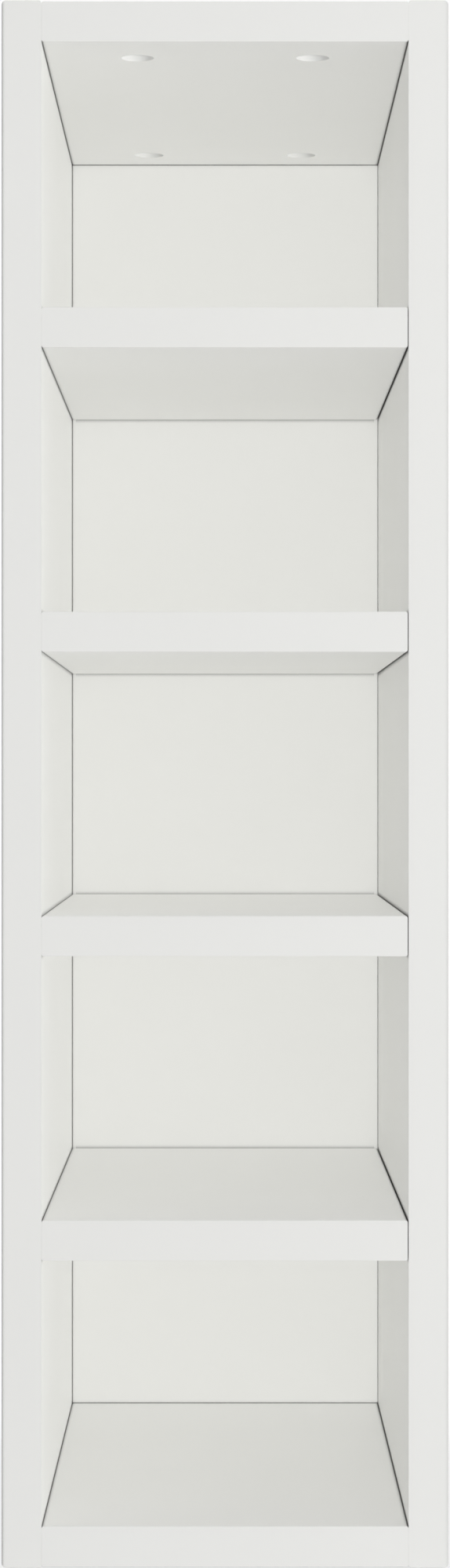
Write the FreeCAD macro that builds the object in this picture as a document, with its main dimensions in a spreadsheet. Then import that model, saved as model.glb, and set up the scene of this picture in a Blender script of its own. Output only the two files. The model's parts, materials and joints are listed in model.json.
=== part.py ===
# Wall wine rack: two sides, a top, a bottom, four shelves and a back, all of one thickness of board.
# Cam nuts and ball-headed bolts pull the top and bottom to the sides, blind dowels carry the shelves and the back,
# and two keyhole plates let into the back hang the rack on two wall screws.
# Frame: millimetres, +Z up, X to the right, the open front faces -Y. The origin is the middle of the underside.
import FreeCAD
import Part
import Sketcher
import os
import re

SHELF_COUNT = 4
BACK_DOWELS_PER_EDGE = 3
TOUCH = 1e-4

SIZES = {
    # The rack as a whole
    "overall_width": 200,
    "overall_depth": 340,
    "overall_height": 700,
    "board_thickness": 18,
    # The top and bottom stop just short of the ends of the sides
    "panel_inset": 0.35,
    # Eased edges: the sides outside and at their inner ends, the ends of the level boards, the face of the back
    "side_outer_round": 2,
    "side_end_round": 1.2,
    "board_end_round": 1,
    "back_face_round": 0.8,
    # Shelves, counted about the middle of the height
    "shelf_pitch": 136,
    "shelf_play": 0.35,
    "shelf_rear_gap": 0.5,
    # Joint all round the back
    "back_gap": 0.1,
    # Cam nuts and the holes that they turn in
    "cam_hole_diameter": 15,
    "cam_hole_depth": 13.5,
    "cam_clearance": 0.1,
    "cam_sink": 4,
    "cam_end_distance": 42,
    "cam_front_setback": 37,
    "cam_row_spacing": 256,
    "cam_cavity_radius": 5,
    "cam_cavity_height": 6,
    "cam_throw": 0.7,
    "cam_track_height": 3.8,
    "cam_rim_chamfer": 0.4,
    "cam_drive_length": 8,
    "cam_drive_width": 1.5,
    "cam_drive_depth": 1.2,
    "cam_mark_length": 2.2,
    "cam_mark_width": 1,
    "cam_mark_depth": 0.5,
    # Bolts that the cams hold
    "bolt_ball_diameter": 5.6,
    "bolt_play": 0.3,
    "bolt_neck_diameter": 3.2,
    "bolt_shank_diameter": 6,
    "bolt_shank_gap": 0.5,
    "bolt_collar_diameter": 7.4,
    "bolt_collar_length": 2,
    "bolt_bore_diameter": 8,
    "bolt_thread_diameter": 6,
    "bolt_thread_length": 11,
    "bolt_tip_chamfer": 0.8,
    "bolt_fit_clearance": 0.05,
    "bolt_tip_gap": 0.5,
    # Dowels
    "dowel_diameter": 8,
    "dowel_length": 30,
    "dowel_side_depth": 11,
    "dowel_clearance": 0.05,
    "dowel_end_gap": 0.5,
    "dowel_chamfer": 1,
    "dowel_row_offset": 32,
    "back_dowel_spacing": 250,
    # Keyhole plates
    "hanger_spacing": 100,
    "hanger_drop": 80,
    "plate_width": 24,
    "plate_height": 56,
    "plate_thickness": 2,
    "plate_clearance": 0.1,
    "keyhole_entry_diameter": 11,
    "keyhole_entry_offset": 5,
    "keyhole_slot_width": 5.6,
    "keyhole_rise": 14,
    "head_pocket_margin": 1.5,
    "head_pocket_depth": 10,
    # Screws that hold the plates
    "plate_screw_offset": 21,
    "screw_shank_diameter": 3.5,
    "screw_head_diameter": 7.2,
    "screw_length": 14,
    "screw_tip_length": 2.5,
    "screw_clearance": 0.2,
    "screw_fit_clearance": 0.05,
    "screw_tip_gap": 0.5,
    "screw_drive_length": 4,
    "screw_drive_width": 0.9,
    "screw_drive_depth": 0.9,
}

# Formulas of sizes that several pieces share
INNER_WIDTH = "(overall_width - 2 * board_thickness)"
CLEAR_HEIGHT = "(overall_height - 2 * panel_inset - 2 * board_thickness)"
BOTTOM_BASE = "panel_inset"
TOP_BASE = "(overall_height - panel_inset - board_thickness)"
BOTTOM_LEVEL = "(panel_inset + board_thickness / 2)"
PANEL_RISE = "(overall_height - 2 * panel_inset - board_thickness)"
MID_HEIGHT = "(overall_height / 2)"
LOWEST_SHELF = f"({MID_HEIGHT} - {SHELF_COUNT - 1} * shelf_pitch / 2)"
SHELF_RISE = f"({SHELF_COUNT - 1} * shelf_pitch)"
SHELF_LENGTH = f"({INNER_WIDTH} - shelf_play)"
SHELF_DEPTH = "(overall_depth - board_thickness - shelf_rear_gap)"
BACK_BASE = "(panel_inset + board_thickness + back_gap)"
BACK_WIDTH = f"({INNER_WIDTH} - 2 * back_gap)"
BACK_HEIGHT = f"({CLEAR_HEIGHT} - 2 * back_gap)"
CAM_SPAN = f"({INNER_WIDTH} - 2 * cam_end_distance)"
CAM_LEVEL = "(board_thickness / 2 - cam_sink)"
CAM_RADIUS = "(cam_hole_diameter / 2 - cam_clearance)"
BALL_REACH = "(cam_cavity_radius - cam_throw - bolt_ball_diameter / 2 - cam_clearance)"
DOWEL_ROW = "(cam_front_setback + dowel_row_offset)"
DOWEL_SPAN = "(cam_row_spacing - 2 * dowel_row_offset)"
DOWEL_BORE = "(dowel_length - dowel_side_depth + 2 * dowel_end_gap)"
HANGER_LEVEL = "(overall_height - hanger_drop)"

doc = FreeCAD.newDocument("WallWineRack")
sheet = doc.addObject("Spreadsheet::Sheet", "Sizes")
for row, (size_name, size_value) in enumerate(SIZES.items(), start=1):
    sheet.set(f"A{row}", str(size_value))
    sheet.setAlias(f"A{row}", size_name)
doc.recompute()


def from_sheet(formula):
    """Rewrites a formula of size names so that each name is read from the sheet."""
    return re.sub(r"[a-z][a-z_]+", lambda word: "Sizes." + word.group(), formula)


def bind(thing, **formulas):
    """Ties properties of a document object to the sheet."""
    for path, formula in formulas.items():
        thing.setExpression(path, from_sheet(formula))


def place(body, x="0", y="0", z="0"):
    """Ties the place of a piece to the sheet."""
    for axis, formula in zip("xyz", (x, y, z)):
        body.setExpression(f"Placement.Base.{axis}", from_sheet(formula))


def new_body(label, several_solids=False):
    """Starts a piece. A group of like fasteners is one piece of several solids."""
    body = doc.addObject("PartDesign::Body", label)
    body.Label = label
    body.AllowCompound = several_solids
    return body


def origin_feature(body, role):
    """Gives the piece's own origin plane or axis with this role."""
    return next(feature for feature in body.Origin.OriginFeatures if feature.Role == role)


def new_sketch(body, role, lift=None):
    """Starts a sketch on one of the piece's origin planes, lifted along the plane's normal."""
    sketch = body.newObject("Sketcher::SketchObject", "Sketch")
    sketch.AttachmentSupport = [(origin_feature(body, role), "")]
    sketch.MapMode = "FlatFace"
    if lift:
        sketch.setExpression("AttachmentOffset.Base.z", from_sheet(lift))
    return sketch


def dimension(sketch, kind, ends, formula):
    """Adds a driving dimension whose value comes from the sheet."""
    number = sketch.addConstraint(Sketcher.Constraint(kind, *ends, 1.0))
    sketch.renameConstraint(number, f"size_{number}")
    sketch.setExpression(f"Constraints.size_{number}", from_sheet(formula))


def fix_point(sketch, geometry, end, x, y):
    """Places a point of the sketch. A coordinate of None lies on the axis."""
    if x is None:
        sketch.addConstraint(Sketcher.Constraint("PointOnObject", geometry, end, -2))
    else:
        dimension(sketch, "DistanceX", (-1, 1, geometry, end), x)
    if y is None:
        sketch.addConstraint(Sketcher.Constraint("PointOnObject", geometry, end, -1))
    else:
        dimension(sketch, "DistanceY", (-1, 1, geometry, end), y)


def draw_loop(sketch, count):
    """Draws a closed loop of lines, joined end to end, for the dimensions to pull into shape."""
    turn = FreeCAD.Rotation(FreeCAD.Vector(0, 0, 1), 360 / count)
    spoke = FreeCAD.Vector(1, 0, 0)
    lines = []
    for _ in range(count):
        following = turn.multVec(spoke)
        lines.append(sketch.addGeometry(Part.LineSegment(spoke, following), False))
        spoke = following
    for line, following in zip(lines, lines[1:] + lines[:1]):
        sketch.addConstraint(Sketcher.Constraint("Coincident", line, 2, following, 1))
    return lines


def draw_rectangle(sketch, width, height, x=None, y=None, centred=False):
    """Draws a rectangle from its low corner, or centred on the sketch's origin."""
    base, right, top, left = draw_loop(sketch, 4)
    for line in (base, top):
        sketch.addConstraint(Sketcher.Constraint("Horizontal", line))
    for line in (right, left):
        sketch.addConstraint(Sketcher.Constraint("Vertical", line))
    dimension(sketch, "DistanceX", (base, 1, base, 2), width)
    dimension(sketch, "DistanceY", (right, 1, right, 2), height)
    if centred:
        sketch.addConstraint(Sketcher.Constraint("Symmetric", base, 1, top, 1, -1, 1))
    else:
        fix_point(sketch, base, 1, x, y)


def draw_circle(sketch, diameter, x=None, y=None):
    """Draws a circle about a point."""
    circle = Part.Circle(FreeCAD.Vector(1, 1, 0), FreeCAD.Vector(0, 0, 1), 1)
    geometry = sketch.addGeometry(circle, False)
    dimension(sketch, "Diameter", (geometry,), diameter)
    fix_point(sketch, geometry, 3, x, y)


def draw_turned_profile(sketch, points):
    """Draws half the section of a turned piece through its corners."""
    for line, (x, y) in zip(draw_loop(sketch, len(points)), points):
        fix_point(sketch, line, 1, x, y)


def pad(body, sketch, length, reverse=False):
    """Raises a sketch into a solid along its plane's normal, or against it."""
    feature = body.newObject("PartDesign::Pad", "Pad")
    feature.Profile = sketch
    feature.Reversed = reverse
    bind(feature, Length=length)
    doc.recompute()
    return feature


def pocket(body, sketch, depth, reverse=False, both_ways=False):
    """Cuts a sketch into the piece against its plane's normal, along it, or half each way."""
    before = body.Shape.Volume
    feature = body.newObject("PartDesign::Pocket", "Pocket")
    feature.Profile = sketch
    feature.Reversed = reverse
    if both_ways:
        feature.SideType = "Symmetric"
    bind(feature, Length=depth)
    doc.recompute()
    if body.Shape.Volume > before - TOUCH:
        raise RuntimeError(f"{body.Label}: a pocket cuts nothing")
    return feature


def drill(body, role, diameter, depth, x=None, y=None, lift=None, reverse=False):
    """Drills one round hole."""
    sketch = new_sketch(body, role, lift)
    draw_circle(sketch, diameter, x, y)
    return pocket(body, sketch, depth, reverse)


def obround_cut(body, width, depth, x, low, high, lift, reverse):
    """Cuts an upright round-ended slot on an XZ plane: a round cut at each end and a straight one between."""
    between = new_sketch(body, "XZ_Plane", lift)
    draw_rectangle(between, width, f"{high} - {low}", f"{x} - {width} / 2", low)
    cuts = [pocket(body, between, depth, reverse)]
    for level in (low, high):
        cuts.append(drill(body, "XZ_Plane", width, depth, x, level, lift, reverse))
    return cuts


def repeat(body, features, first, second=None):
    """Repeats cuts, or the whole shape when no feature is given, along one axis or two: (role, count, span)."""
    pattern = body.newObject("PartDesign::LinearPattern", "Pattern")
    if features:
        pattern.Originals = features
    else:
        pattern.TransformMode = "Whole shape"
    role, count, span = first
    pattern.Direction = (origin_feature(body, role), [""])
    pattern.Occurrences = count
    bind(pattern, Length=span)
    if second:
        role, count, span = second
        pattern.Direction2 = (origin_feature(body, role), [""])
        pattern.Occurrences2 = count
        bind(pattern, Length2=span)
    body.Tip = pattern
    doc.recompute()


def mirror_left_right(body):
    """Adds the mirror image of the whole piece across the middle of the rack."""
    mirrored = body.newObject("PartDesign::Mirrored", "Mirrored")
    mirrored.TransformMode = "Whole shape"
    mirrored.MirrorPlane = (origin_feature(body, "YZ_Plane"), [""])
    body.Tip = mirrored
    doc.recompute()


def edges_at(body, **planes):
    """Names the edges that lie in all the given planes, such as x=0."""
    names = []
    for number, edge in enumerate(body.Tip.Shape.Edges, start=1):
        box = edge.BoundBox
        spans = {"x": (box.XMin, box.XMax), "y": (box.YMin, box.YMax), "z": (box.ZMin, box.ZMax)}
        if all(abs(end - where) < TOUCH for axis, where in planes.items() for end in spans[axis]):
            names.append(f"Edge{number}")
    if not names:
        raise RuntimeError(f"{body.Label}: no edge at {planes}")
    return names


def ease(body, edges, radius):
    """Rounds edges."""
    base = body.Tip
    fillet = body.newObject("PartDesign::Fillet", "Fillet")
    fillet.Base = (base, edges)
    bind(fillet, Radius=radius)
    doc.recompute()


def bevel(body, edges, size):
    """Bevels edges at 45 degrees."""
    base = body.Tip
    chamfer = body.newObject("PartDesign::Chamfer", "Chamfer")
    chamfer.Base = (base, edges)
    bind(chamfer, Size=size)
    doc.recompute()


def turn(body, points, axis="H_Axis"):
    """Turns half a section into a solid about the sketch's level or upright axis."""
    sketch = new_sketch(body, "XY_Plane")
    draw_turned_profile(sketch, points)
    turned = body.newObject("PartDesign::Revolution", "Turned")
    turned.Profile = sketch
    turned.ReferenceAxis = (sketch, [axis])
    doc.recompute()


def cross_recess(body, role, length, width, depth, lift=None, reverse=False):
    """Cuts a cross for a screwdriver, centred on the piece's axis."""
    cuts = []
    for across, along in ((length, width), (width, length)):
        sketch = new_sketch(body, role, lift)
        draw_rectangle(sketch, across, along, centred=True)
        cuts.append(pocket(body, sketch, depth, reverse))
    return cuts


def make_side(label, on_left):
    """An upright side. Its inner face, where the holes are, lies on its own YZ plane."""
    body = new_body(label)
    sketch = new_sketch(body, "YZ_Plane")
    draw_rectangle(sketch, "overall_depth", "overall_height")
    pad(body, sketch, "board_thickness", reverse=on_left)
    thickness = SIZES["board_thickness"]
    ease(body, edges_at(body, x=-thickness if on_left else thickness), "side_outer_round")
    inner_ends = edges_at(body, x=0, z=0) + edges_at(body, x=0, z=SIZES["overall_height"])
    ease(body, inner_ends, "side_end_round")

    inward = not on_left
    thread_bore = "bolt_thread_diameter + 2 * bolt_fit_clearance"
    thread_depth = "bolt_thread_length + bolt_tip_gap"
    bolt = drill(body, "YZ_Plane", thread_bore, thread_depth, "cam_front_setback", BOTTOM_LEVEL, reverse=inward)
    repeat(body, [bolt], ("Y_Axis", 2, "cam_row_spacing"), ("Z_Axis", 2, PANEL_RISE))
    for level, count, rise in ((BOTTOM_LEVEL, 2, PANEL_RISE), (LOWEST_SHELF, SHELF_COUNT, SHELF_RISE)):
        dowel = drill(body, "YZ_Plane", "dowel_diameter", "dowel_side_depth", DOWEL_ROW, level, reverse=inward)
        repeat(body, [dowel], ("Y_Axis", 2, DOWEL_SPAN), ("Z_Axis", count, rise))
    back_row = "overall_depth - board_thickness / 2"
    lowest = f"{MID_HEIGHT} - back_dowel_spacing"
    dowel = drill(body, "YZ_Plane", "dowel_diameter", "dowel_side_depth", back_row, lowest, reverse=inward)
    repeat(body, [dowel], ("Z_Axis", BACK_DOWELS_PER_EDGE, "2 * back_dowel_spacing"))

    half_width = f"{INNER_WIDTH} / 2"
    place(body, f"-{half_width}" if on_left else half_width, "-overall_depth / 2")


def bore_ends(body, length, diameter, depth, row, span):
    """Bores both ends of a level board, in two rows, at the middle of its thickness."""
    for lift, inward in ((None, True), (length, False)):
        hole = drill(body, "YZ_Plane", diameter, depth, row, "board_thickness / 2", lift, inward)
        repeat(body, [hole], ("Y_Axis", 2, span))


def make_level_board(label, length, depth, base):
    """A level board between the sides, with its end edges eased, from its left front corner."""
    body = new_body(label)
    sketch = new_sketch(body, "XY_Plane")
    draw_rectangle(sketch, length, depth)
    board = pad(body, sketch, "board_thickness")
    far_end = board.Shape.BoundBox.XMax
    edges = []
    for end in (0, far_end):
        for face in (0, SIZES["board_thickness"]):
            edges += edges_at(body, x=end, z=face)
    place(body, f"-{INNER_WIDTH} / 2", "-overall_depth / 2", base)
    return body, edges


def make_panel(label, base):
    """The top or the bottom: four cam holes in its underside, and bolt and dowel holes in its ends."""
    body, end_edges = make_level_board(label, INNER_WIDTH, "overall_depth", base)
    ease(body, end_edges, "board_end_round")
    cam_hole = drill(body, "XY_Plane", "cam_hole_diameter", "cam_hole_depth", "cam_end_distance",
                     "cam_front_setback", reverse=True)
    repeat(body, [cam_hole], ("X_Axis", 2, CAM_SPAN), ("Y_Axis", 2, "cam_row_spacing"))
    bore_ends(body, INNER_WIDTH, "bolt_bore_diameter", "cam_end_distance", "cam_front_setback", "cam_row_spacing")
    bore_ends(body, INNER_WIDTH, "dowel_diameter", DOWEL_BORE, DOWEL_ROW, DOWEL_SPAN)


def make_shelf(label, level):
    """A shelf, a little short of the right side and of the back, with dowel holes in its ends."""
    body, edges = make_level_board(label, SHELF_LENGTH, SHELF_DEPTH, f"{level} - board_thickness / 2")
    rear = body.Tip.Shape.BoundBox.YMax
    for face in (0, SIZES["board_thickness"]):
        edges += edges_at(body, y=rear, z=face)
    ease(body, edges, "board_end_round")
    bore_ends(body, SHELF_LENGTH, "dowel_diameter", DOWEL_BORE, DOWEL_ROW, DOWEL_SPAN)


def make_back(label):
    """The back, with dowel holes in its upright edges and a bed for each keyhole plate in its rear face."""
    body = new_body(label)
    sketch = new_sketch(body, "XZ_Plane")
    draw_rectangle(sketch, BACK_WIDTH, BACK_HEIGHT)
    pad(body, sketch, "board_thickness", reverse=True)
    ease(body, edges_at(body, y=0), "back_face_round")

    lowest = f"{MID_HEIGHT} - back_dowel_spacing - {BACK_BASE}"
    for lift, inward in ((None, True), (BACK_WIDTH, False)):
        hole = drill(body, "YZ_Plane", "dowel_diameter", DOWEL_BORE, "board_thickness / 2", lowest, lift, inward)
        repeat(body, [hole], ("Z_Axis", BACK_DOWELS_PER_EDGE, "2 * back_dowel_spacing"))

    rear = "-board_thickness"
    x = f"({BACK_WIDTH} / 2 - hanger_spacing / 2)"
    centre = f"({HANGER_LEVEL} - {BACK_BASE})"
    reach = "(plate_height - plate_width) / 2"
    bed_width = "(plate_width + 2 * plate_clearance)"
    cuts = obround_cut(body, bed_width, "plate_thickness", x, f"({centre} - {reach})", f"({centre} + {reach})",
                       rear, True)
    entry = f"({centre} - keyhole_entry_offset)"
    head_width = "(keyhole_entry_diameter + 2 * head_pocket_margin)"
    cuts += obround_cut(body, head_width, "plate_thickness + head_pocket_depth", x, entry,
                        f"({entry} + keyhole_rise)", rear, True)
    pilot = "screw_shank_diameter + 2 * screw_fit_clearance"
    for way in "-+":
        level = f"{centre} {way} plate_screw_offset"
        cuts.append(drill(body, "XZ_Plane", pilot, "screw_length + screw_tip_gap", x, level, rear, True))
    repeat(body, cuts, ("X_Axis", 2, "hanger_spacing"))
    place(body, f"-{BACK_WIDTH} / 2", "overall_depth / 2 - board_thickness", BACK_BASE)


def make_cam(label, on_left, in_front, panel_base):
    """A cam nut, locked: an off-centre chamber for the bolt's ball, a track for its neck round half the rim,
    and a mouth opposite the bolt that lets the ball out after half a turn. A mark in its face shows the mouth."""
    body = new_body(label)
    sketch = new_sketch(body, "XY_Plane")
    draw_circle(sketch, f"2 * {CAM_RADIUS}")
    pad(body, sketch, "cam_hole_depth - cam_sink - cam_clearance")
    bevel(body, edges_at(body, z=0), "cam_rim_chamfer")

    chamber = new_sketch(body, "XY_Plane", CAM_LEVEL)
    draw_circle(chamber, "2 * cam_cavity_radius", "cam_throw")
    pocket(body, chamber, "cam_cavity_height", both_ways=True)
    track = new_sketch(body, "XY_Plane", CAM_LEVEL)
    neck_room = "(bolt_neck_diameter / 2 + bolt_play)"
    draw_rectangle(track, "cam_hole_diameter", f"cam_hole_diameter / 2 + {neck_room}", "-cam_hole_diameter / 2",
                   "-cam_hole_diameter / 2")
    pocket(body, track, "cam_track_height", both_ways=True)
    drill(body, "YZ_Plane", "bolt_ball_diameter + 2 * bolt_play", "cam_hole_diameter / 2", None, CAM_LEVEL,
          reverse=True)
    cross_recess(body, "XY_Plane", "cam_drive_length", "cam_drive_width", "cam_drive_depth", reverse=True)
    mark = new_sketch(body, "XY_Plane")
    draw_rectangle(mark, "cam_mark_length", "cam_mark_width", f"{CAM_RADIUS} - cam_mark_length",
                   "-cam_mark_width / 2")
    pocket(body, mark, "cam_mark_depth", reverse=True)

    half_span = f"{CAM_SPAN} / 2"
    row = "cam_front_setback" if in_front else "cam_front_setback + cam_row_spacing"
    facing = FreeCAD.Rotation(FreeCAD.Vector(0, 0, 1), 0 if on_left else 180)
    body.Placement = FreeCAD.Placement(FreeCAD.Vector(), facing)
    place(body, f"-{half_span}" if on_left else half_span, f"{row} - overall_depth / 2", f"{panel_base} + cam_sink")


def make_cam_bolts(label, level):
    """Four bolts in the sides: a thread, a collar against the side, a shank, a neck and a ball in the cam."""
    body = new_body(label, several_solids=True)
    side = f"{INNER_WIDTH} / 2"
    ball = f"({CAM_SPAN} / 2 + {BALL_REACH})"
    shank = f"{CAM_SPAN} / 2 + cam_hole_diameter / 2 + bolt_shank_gap"
    collar = f"{side} - bolt_collar_length"
    tip = f"({side} + bolt_thread_length)"
    neck_radius = "bolt_neck_diameter / 2"
    shank_radius = "bolt_shank_diameter / 2"
    collar_radius = "bolt_collar_diameter / 2"
    thread_radius = "bolt_thread_diameter / 2"
    turn(body, [
        (ball, None),
        (tip, None),
        (tip, f"{thread_radius} - bolt_tip_chamfer"),
        (f"{tip} - bolt_tip_chamfer", thread_radius),
        (side, thread_radius),
        (side, collar_radius),
        (collar, collar_radius),
        (collar, shank_radius),
        (shank, shank_radius),
        (shank, neck_radius),
        (ball, neck_radius),
    ])
    head = body.newObject("PartDesign::AdditiveSphere", "Ball")
    head.AttachmentSupport = [(origin_feature(body, "XY_Plane"), "")]
    head.MapMode = "FlatFace"
    head.setExpression("AttachmentOffset.Base.x", from_sheet(ball))
    bind(head, Radius="bolt_ball_diameter / 2")
    doc.recompute()
    repeat(body, None, ("Y_Axis", 2, "cam_row_spacing"))
    mirror_left_right(body)
    place(body, y="cam_front_setback - overall_depth / 2", z=level)


def make_dowels(label, y, z, rows):
    """Wooden dowels with bevelled ends, half in the sides, in rows and mirrored left and right."""
    body = new_body(label, several_solids=True)
    inner = f"({INNER_WIDTH} / 2 - dowel_length + dowel_side_depth - dowel_end_gap)"
    outer = f"({INNER_WIDTH} / 2 + dowel_side_depth - dowel_end_gap)"
    radius = "(dowel_diameter / 2 - dowel_clearance)"
    turn(body, [
        (inner, None),
        (outer, None),
        (outer, f"{radius} - dowel_chamfer"),
        (f"{outer} - dowel_chamfer", radius),
        (f"{inner} + dowel_chamfer", radius),
        (inner, f"{radius} - dowel_chamfer"),
    ])
    repeat(body, None, rows)
    mirror_left_right(body)
    place(body, y=y, z=z)


def make_hanger(label, on_left):
    """A keyhole plate: round ends, a round entry under a narrow slot, and two countersunk screw holes."""
    body = new_body(label)
    middle = "plate_height / 2"
    low = "plate_width / 2"
    high = "(plate_height - plate_width / 2)"
    sketch = new_sketch(body, "XZ_Plane")
    draw_rectangle(sketch, "plate_width", f"{high} - {low}", "-plate_width / 2", low)
    pad(body, sketch, "plate_thickness", reverse=True)
    for level in (low, high):
        end = new_sketch(body, "XZ_Plane")
        draw_circle(end, "plate_width", None, level)
        pad(body, end, "plate_thickness", reverse=True)
    entry = f"({middle} - keyhole_entry_offset)"
    drill(body, "XZ_Plane", "keyhole_entry_diameter", "plate_thickness", None, entry)
    slot = new_sketch(body, "XZ_Plane")
    draw_rectangle(slot, "keyhole_slot_width", "keyhole_rise", "-keyhole_slot_width / 2", entry)
    pocket(body, slot, "plate_thickness")
    drill(body, "XZ_Plane", "keyhole_slot_width", "plate_thickness", None, f"{entry} + keyhole_rise")
    hole = "screw_shank_diameter + 2 * screw_clearance"
    for way in "-+":
        drill(body, "XZ_Plane", hole, "plate_thickness", None, f"{middle} {way} plate_screw_offset")
    screw_edges = [name for name in edges_at(body, y=SIZES["plate_thickness"]) if is_screw_rim(body, name)]
    bevel(body, screw_edges, "(screw_head_diameter - screw_shank_diameter) / 2")
    place(body, f"{'-' if on_left else ''}hanger_spacing / 2", "overall_depth / 2 - plate_thickness",
          f"{HANGER_LEVEL} - plate_height / 2")


def is_screw_rim(body, edge_name):
    """Tells whether an edge is the round rim of a screw hole."""
    curve = body.Tip.Shape.getElement(edge_name).Curve
    radius = SIZES["screw_shank_diameter"] / 2 + SIZES["screw_clearance"]
    return isinstance(curve, Part.Circle) and abs(curve.Radius - radius) < TOUCH


def make_hanger_screws(label):
    """Four countersunk screws, heads level with the plates."""
    body = new_body(label, several_solids=True)
    shank_radius = "screw_shank_diameter / 2"
    head_radius = "screw_head_diameter / 2"
    turn(body, [
        (None, None),
        (shank_radius, "screw_tip_length"),
        (shank_radius, f"screw_length - {head_radius} + {shank_radius}"),
        (head_radius, "screw_length"),
        (None, "screw_length"),
    ], axis="V_Axis")
    cross_recess(body, "XZ_Plane", "screw_drive_length", "screw_drive_width", "screw_drive_depth",
                 lift="-screw_length", reverse=True)
    repeat(body, None, ("X_Axis", 2, "hanger_spacing"), ("Z_Axis", 2, "2 * plate_screw_offset"))
    place(body, "-hanger_spacing / 2", "overall_depth / 2 - screw_length", f"{HANGER_LEVEL} - plate_screw_offset")


def make_rack():
    """Makes every piece of the rack."""
    make_side("left_side", on_left=True)
    make_side("right_side", on_left=False)
    make_back("back_panel")
    front_dowels = f"{DOWEL_ROW} - overall_depth / 2"
    dowel_rows = ("Y_Axis", 2, DOWEL_SPAN)
    for name, base, level in (
        ("bottom", BOTTOM_BASE, BOTTOM_LEVEL),
        ("top", TOP_BASE, f"{BOTTOM_LEVEL} + {PANEL_RISE}"),
    ):
        make_panel(f"{name}_panel", base)
        make_cam_bolts(f"{name}_cam_bolts", level)
        make_dowels(f"{name}_dowels", front_dowels, level, dowel_rows)
        for depth_name in ("front", "rear"):
            for hand in ("left", "right"):
                make_cam(f"{name}_cam_{depth_name}_{hand}", hand == "left", depth_name == "front", base)
    for number in range(1, SHELF_COUNT + 1):
        level = f"{LOWEST_SHELF} + {SHELF_COUNT - number} * shelf_pitch"
        make_shelf(f"shelf_{number}", level)
        make_dowels(f"shelf_{number}_dowels", front_dowels, level, dowel_rows)
    back_rows = ("Z_Axis", BACK_DOWELS_PER_EDGE, "2 * back_dowel_spacing")
    make_dowels("back_dowels", "(overall_depth - board_thickness) / 2", f"{MID_HEIGHT} - back_dowel_spacing",
                back_rows)
    make_hanger("left_hanger", on_left=True)
    make_hanger("right_hanger", on_left=False)
    make_hanger_screws("hanger_screws")


def check_and_write():
    """Checks that every piece came out sound, then writes one file for each."""
    doc.recompute()
    failed = [item.Label for item in doc.Objects if {"Invalid", "Error"} & set(item.State)]
    if failed:
        raise RuntimeError(f"failed: {failed}")
    bodies = [item for item in doc.Objects if item.TypeId == "PartDesign::Body"]
    for body in bodies:
        if body.Shape.isNull() or not body.Shape.isValid():
            raise RuntimeError(f"{body.Label} has no sound shape")
    os.makedirs("parts", exist_ok=True)
    for body in bodies:
        body.Shape.exportStep(f"parts/{body.Label}.step")
        box = body.Shape.BoundBox
        print(f"{body.Label}: {len(body.Shape.Solids)} solids, {body.Shape.Volume:.1f} mm3,",
              f"{box.XLength:.2f} x {box.YLength:.2f} x {box.ZLength:.2f} mm")


make_rack()
check_and_write()
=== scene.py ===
import json
import math

import bmesh
import bpy
from bpy.props import FloatProperty, FloatVectorProperty, IntProperty, PointerProperty
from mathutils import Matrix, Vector


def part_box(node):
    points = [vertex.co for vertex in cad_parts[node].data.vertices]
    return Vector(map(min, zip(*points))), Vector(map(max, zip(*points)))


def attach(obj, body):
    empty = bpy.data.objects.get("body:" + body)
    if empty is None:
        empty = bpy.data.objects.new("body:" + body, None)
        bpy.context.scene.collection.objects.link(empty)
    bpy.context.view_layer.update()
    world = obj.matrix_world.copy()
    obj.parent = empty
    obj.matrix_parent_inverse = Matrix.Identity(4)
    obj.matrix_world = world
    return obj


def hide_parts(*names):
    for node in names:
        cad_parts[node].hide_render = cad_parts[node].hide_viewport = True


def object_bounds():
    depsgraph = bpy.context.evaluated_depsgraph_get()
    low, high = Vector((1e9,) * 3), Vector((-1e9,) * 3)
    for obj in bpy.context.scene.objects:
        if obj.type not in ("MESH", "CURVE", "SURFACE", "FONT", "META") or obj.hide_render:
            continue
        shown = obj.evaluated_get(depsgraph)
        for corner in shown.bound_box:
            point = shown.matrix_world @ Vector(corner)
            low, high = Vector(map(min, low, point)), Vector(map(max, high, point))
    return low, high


bl_info = {
    "name": "Wall Wine Rack",
    "version": (1, 0, 0),
    "blender": (4, 5, 0),
    "location": "3D View > Sidebar > Wine Rack",
    "description": "Finishes the boards and fittings of a wall wine rack and sets up its studio",
    "category": "Object",
}

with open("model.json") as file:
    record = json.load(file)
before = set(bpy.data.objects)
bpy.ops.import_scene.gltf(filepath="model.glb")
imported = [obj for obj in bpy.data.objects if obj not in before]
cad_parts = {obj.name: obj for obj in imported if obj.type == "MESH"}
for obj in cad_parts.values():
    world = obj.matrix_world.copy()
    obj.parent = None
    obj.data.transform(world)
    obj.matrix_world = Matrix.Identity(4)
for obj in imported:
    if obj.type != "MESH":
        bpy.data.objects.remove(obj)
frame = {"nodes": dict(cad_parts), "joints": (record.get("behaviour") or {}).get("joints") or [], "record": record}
CAD_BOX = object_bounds()
RACK_BODY = "rack"

# Places of the fittings, read from the frame
BACK = "back_panel"
SIDES = ("left_side", "right_side")
INNER_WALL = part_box("right_side")[0].x
BACK_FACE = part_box(BACK)[0].y
PLATE_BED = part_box("left_hanger")[0].y
CAM_AXIS = max(joint["pos_m"][0] for joint in frame["joints"])
CAM_ROWS = sorted({joint["pos_m"][1] for joint in frame["joints"]})
FRONT = CAD_BOX[0].y
MIDDLE = (CAD_BOX[0] + CAD_BOX[1]) / 2

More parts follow.
